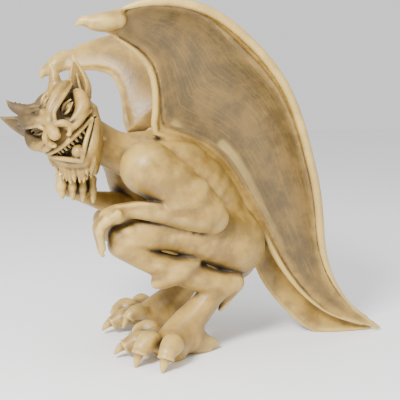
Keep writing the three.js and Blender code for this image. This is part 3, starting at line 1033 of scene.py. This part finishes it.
def stone_grain_group():
    """Mottling, speckles and the height of pits and tool marks."""
    outputs = [("Mottle", "NodeSocketFloat"), ("Speck", "NodeSocketFloat"), ("Height", "NodeSocketFloat")]
    tree, given, out = group_of("Stone grain", [("Scale", "NodeSocketFloat", 1.0)], outputs)
    place = wire(tree, "ShaderNodeTexCoord").outputs["Object"]
    scale = given.outputs["Scale"]
    spot = wire(tree, "ShaderNodeVectorMath", {0: place, "Scale": scale}, operation="SCALE").outputs[0]
    patches = {"Vector": spot, "Scale": 28.0, "Detail": 6.0, "Roughness": 0.62}
    specks = {"Vector": spot, "Scale": 420.0, "Detail": 3.0}
    hollows = {"Vector": spot, "Scale": 160.0, "Detail": 6.0, "Roughness": 0.6}
    mottle = wire(tree, "ShaderNodeTexNoise", patches)
    speck = wire(tree, "ShaderNodeTexNoise", specks)
    pits = wire(tree, "ShaderNodeTexNoise", hollows)
    tree.links.new(mottle.outputs["Fac"], out.inputs["Mottle"])
    tree.links.new(speck.outputs["Fac"], out.inputs["Speck"])
    tree.links.new(pits.outputs["Fac"], out.inputs["Height"])
    return tree


def aged_stone(finish):
    made = bpy.data.materials.new("aged stone")
    made.use_nodes = True
    tree = made.node_tree
    shader = tree.nodes["Principled BSDF"]
    wash_shade_and_wear = wire(tree, "ShaderNodeGroup", {"Wear": EDGE_WEAR}, node_tree=wash_shade_and_wear_group())
    grain = wire(tree, "ShaderNodeGroup", node_tree=stone_grain_group())
    mottle = grain.outputs["Mottle"]
    speck = grain.outputs["Speck"]

    body = mixed(tree, ranged(tree, mottle, 0.38, 0.66), (*finish.shade, 1), (*finish.stone, 1))
    skin = attribute(tree, "wing_skin_and_shade")
    over_wing = {0: attribute(tree, "wing_span"), 1: attribute(tree, "wing_reach")}
    combine = wire(tree, "ShaderNodeCombineXYZ", over_wing)
    stretch = {"Vector": combine.outputs[0], "Scale": (34.0, 5.0, 1.0)}
    stretched = wire(tree, "ShaderNodeMapping", stretch)
    brushed = {"Vector": stretched.outputs[0], "Scale": 2.2, "Detail": 5.0}
    strokes = wire(tree, "ShaderNodeTexNoise", brushed)
    stroke = strokes.outputs["Fac"]
    membrane_and_shade = mixed(tree, ranged(tree, mottle, 0.36, 0.64), (*finish.wing_shade, 1), (*finish.wing, 1))
    membrane_and_shade = mixed(tree, ranged(tree, stroke, 0.46, 0.70, 0.0, 0.2), membrane_and_shade, (*finish.stone, 1))
    # The wings' hollow faces turn dark brown: their own darker paint together with painted shade.
    colour = mixed(tree, maths(tree, "MULTIPLY", skin, 0.9), body, membrane_and_shade)
    colour = mixed(tree, wash_shade_and_wear.outputs["Edges"], colour, (*finish.highlight, 1))
    colour = mixed(tree, ranged(tree, speck, 0.60, 0.75, 0.0, 0.35), colour, (*finish.shade, 1))
    # Darkens hollows, creases and places under things: the antique wash together with painted shade.
    colour = mixed(tree, wash_shade_and_wear.outputs["Hollows"], colour, (*finish.hollow, 1))
    tree.links.new(colour, shader.inputs["Base Color"])
    sheen = ranged(tree, mottle, 0.3, 0.7, 0.34, 0.50)
    dulled = maths(tree, "MULTIPLY", wash_shade_and_wear.outputs["Hollows"], 0.3)
    rough = maths(tree, "ADD", sheen, dulled)
    tree.links.new(rough, shader.inputs["Roughness"])
    shader.inputs["Specular IOR Level"].default_value = 0.5
    lines = maths(tree, "MULTIPLY", maths(tree, "MULTIPLY", stroke, skin), 0.4)
    height = maths(tree, "ADD", grain.outputs["Height"], lines)
    bump = wire(tree, "ShaderNodeBump", {"Height": height, "Strength": 0.35, "Distance": 0.0012})
    tree.links.new(bump.outputs["Normal"], shader.inputs["Normal"])
    return made


def floor_finish(colour):
    made = bpy.data.materials.new("pale floor")
    made.use_nodes = True
    shader = made.node_tree.nodes["Principled BSDF"]
    shader.inputs["Base Color"].default_value = (*colour, 1)
    shader.inputs["Roughness"].default_value = 0.9
    return made


# ---------------------------------------------------------------- properties


class GargoyleCarving(bpy.types.PropertyGroup):
    body_pitch: FloatProperty(
        name="Body grid", description="Spacing of the grid that the body is carved on", default=0.0014,
        min=0.0008, unit="LENGTH", subtype="DISTANCE",
    )
    head_pitch: FloatProperty(
        name="Head grid", description="Spacing of the grid that the head is carved on", default=0.0007,
        min=0.0004, unit="LENGTH", subtype="DISTANCE",
    )
    body_triangles: IntProperty(name="Body faces", description="Triangles kept on the body", default=115000)
    head_triangles: IntProperty(name="Head faces", description="Triangles kept on the head", default=75000)


def colour_property(name, description, default):
    return FloatVectorProperty(
        name=name, description=description, default=default, min=0.0, max=1.0, size=3, subtype="COLOR"
    )


class GargoyleFinish(bpy.types.PropertyGroup):
    stone: colour_property("Stone", "Ochre of the open surfaces", (0.37, 0.225, 0.045))
    shade: colour_property("Shade", "Darker patches of the ochre", (0.20, 0.115, 0.022))
    highlight: colour_property("Highlight", "Pale gold of worn edges", (0.74, 0.53, 0.16))
    # Hollow: the dark antique wash together with painted shade in recesses, creases and under things.
    hollow: colour_property("Hollow", "Dark wash in the hollows", (0.018, 0.010, 0.004))
    # Wing skin: the darker paint of the wings' hollow faces together with painted shade on them.
    wing: colour_property("Wing skin", "Brown of the hollow faces of the wings", (0.135, 0.078, 0.018))
    wing_shade: colour_property("Wing shade", "Darker olive patches of the wings", (0.062, 0.040, 0.011))


class GargoyleStage(bpy.types.PropertyGroup):
    distance: FloatProperty(
        name="Camera distance", description="From the middle of the figure to the camera", default=1.125,
        unit="LENGTH", subtype="DISTANCE",
    )
    azimuth: FloatProperty(
        name="Azimuth", description="Camera's turn from straight ahead towards the figure's left",
        default=math.radians(76), subtype="ANGLE",
    )
    elevation: FloatProperty(
        name="Elevation", description="Camera's height above level", default=math.radians(8), subtype="ANGLE",
    )
    floor: colour_property("Floor", "Colour of the floor", (0.93, 0.93, 0.93))


# ---------------------------------------------------------------- operators


class GARGOYLE_OT_carve(bpy.types.Operator):
    """Carve the gargoyle, winged and crouching, in place of the plain solid"""

    bl_idname = "gargoyle.carve"
    bl_label = "Carve gargoyle"

    def execute(self, context):
        figure = make_gargoyle(context.scene.gargoyle_carving)
        figure.data.materials.append(aged_stone(context.scene.gargoyle_finish))
        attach(figure, "root")
        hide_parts("gargoyle")
        return {"FINISHED"}


class GARGOYLE_OT_stage(bpy.types.Operator):
    """Lay the floor, hang the soft lights and set the camera"""

    bl_idname = "gargoyle.stage"
    bl_label = "Set stage"

    def execute(self, context):
        settings = context.scene.gargoyle_stage
        bpy.ops.mesh.primitive_plane_add(size=FLOOR_SIZE)
        floor = context.object
        floor.name = "floor"
        floor.data.materials.append(floor_finish(settings.floor))
        make_lights()
        make_camera(settings)
        return {"FINISHED"}


FLOOR_SIZE = 8.0
LIT_PLACE = (0.0, -0.02, 0.2)
LAMPS = [
    # name, place, size, watts
    ("key light", (1.1, -0.85, 1.1), 0.4, 58.0),
    ("sky light", (0.2, 0.1, 1.9), 1.8, 12.0),
    ("fill light", (1.5, 0.9, 0.6), 1.4, 3.0),
]
WORLD_COLOUR = (1.0, 1.0, 1.0, 1)
WORLD_STRENGTH = 1.0
AIM_HEIGHT = 180.0  # mm
SENSOR = 36.0
LENS = 81.0


def aimed(item, place, target):
    """Puts a lamp or camera at a place, looking at the target."""
    item.location = place
    item.rotation_euler = (Vector(target) - Vector(place)).to_track_quat("-Z", "Y").to_euler()
    return item


def make_lights():
    for name, place, size, watts in LAMPS:
        lamp = bpy.data.lights.new(name, "AREA")
        lamp.size = size
        lamp.energy = watts
        holder = bpy.data.objects.new(name, lamp)
        bpy.context.scene.collection.objects.link(holder)
        aimed(holder, place, LIT_PLACE)
    world = bpy.data.worlds.new("studio")
    world.use_nodes = True
    background = world.node_tree.nodes["Background"]
    background.inputs["Color"].default_value = WORLD_COLOUR
    background.inputs["Strength"].default_value = WORLD_STRENGTH
    bpy.context.scene.world = world


def make_camera(settings):
    target = Vector((0.0, 0.0, AIM_HEIGHT)) + FROM_CARVER
    target = target * MILLIMETRE
    level = settings.distance * math.cos(settings.elevation)
    offset = Vector((
        level * math.sin(settings.azimuth),
        -level * math.cos(settings.azimuth),
        settings.distance * math.sin(settings.elevation),
    ))
    camera = bpy.data.cameras.new("studio camera")
    camera.sensor_width = SENSOR
    camera.lens = LENS
    holder = bpy.data.objects.new("studio camera", camera)
    bpy.context.scene.collection.objects.link(holder)
    aimed(holder, target + offset, target)
    bpy.context.scene.camera = holder


class GARGOYLE_PT_panel(bpy.types.Panel):
    bl_idname = "GARGOYLE_PT_panel"
    bl_label = "Gargoyle"
    bl_space_type = "VIEW_3D"
    bl_region_type = "UI"
    bl_category = "Gargoyle"

    def draw(self, context):
        for settings, operator in (
            (context.scene.gargoyle_carving, None),
            (context.scene.gargoyle_finish, GARGOYLE_OT_carve.bl_idname),
            (context.scene.gargoyle_stage, GARGOYLE_OT_stage.bl_idname),
        ):
            box = self.layout.box()
            for key in settings.bl_rna.properties.keys():
                if key not in ("rna_type", "name"):
                    box.prop(settings, key)
            if operator:
                box.operator(operator)


CLASSES = (
    GargoyleCarving,
    GargoyleFinish,
    GargoyleStage,
    GARGOYLE_OT_carve,
    GARGOYLE_OT_stage,
    GARGOYLE_PT_panel,
)


def register():
    for item in CLASSES:
        bpy.utils.register_class(item)
    bpy.types.Scene.gargoyle_carving = PointerProperty(type=GargoyleCarving)
    bpy.types.Scene.gargoyle_finish = PointerProperty(type=GargoyleFinish)
    bpy.types.Scene.gargoyle_stage = PointerProperty(type=GargoyleStage)


def unregister():
    del bpy.types.Scene.gargoyle_stage
    del bpy.types.Scene.gargoyle_finish
    del bpy.types.Scene.gargoyle_carving
    for item in reversed(CLASSES):
        bpy.utils.unregister_class(item)


def main():
    register()
    bpy.ops.gargoyle.carve()
    bpy.ops.gargoyle.stage()


if __name__ == "__main__":
    main()
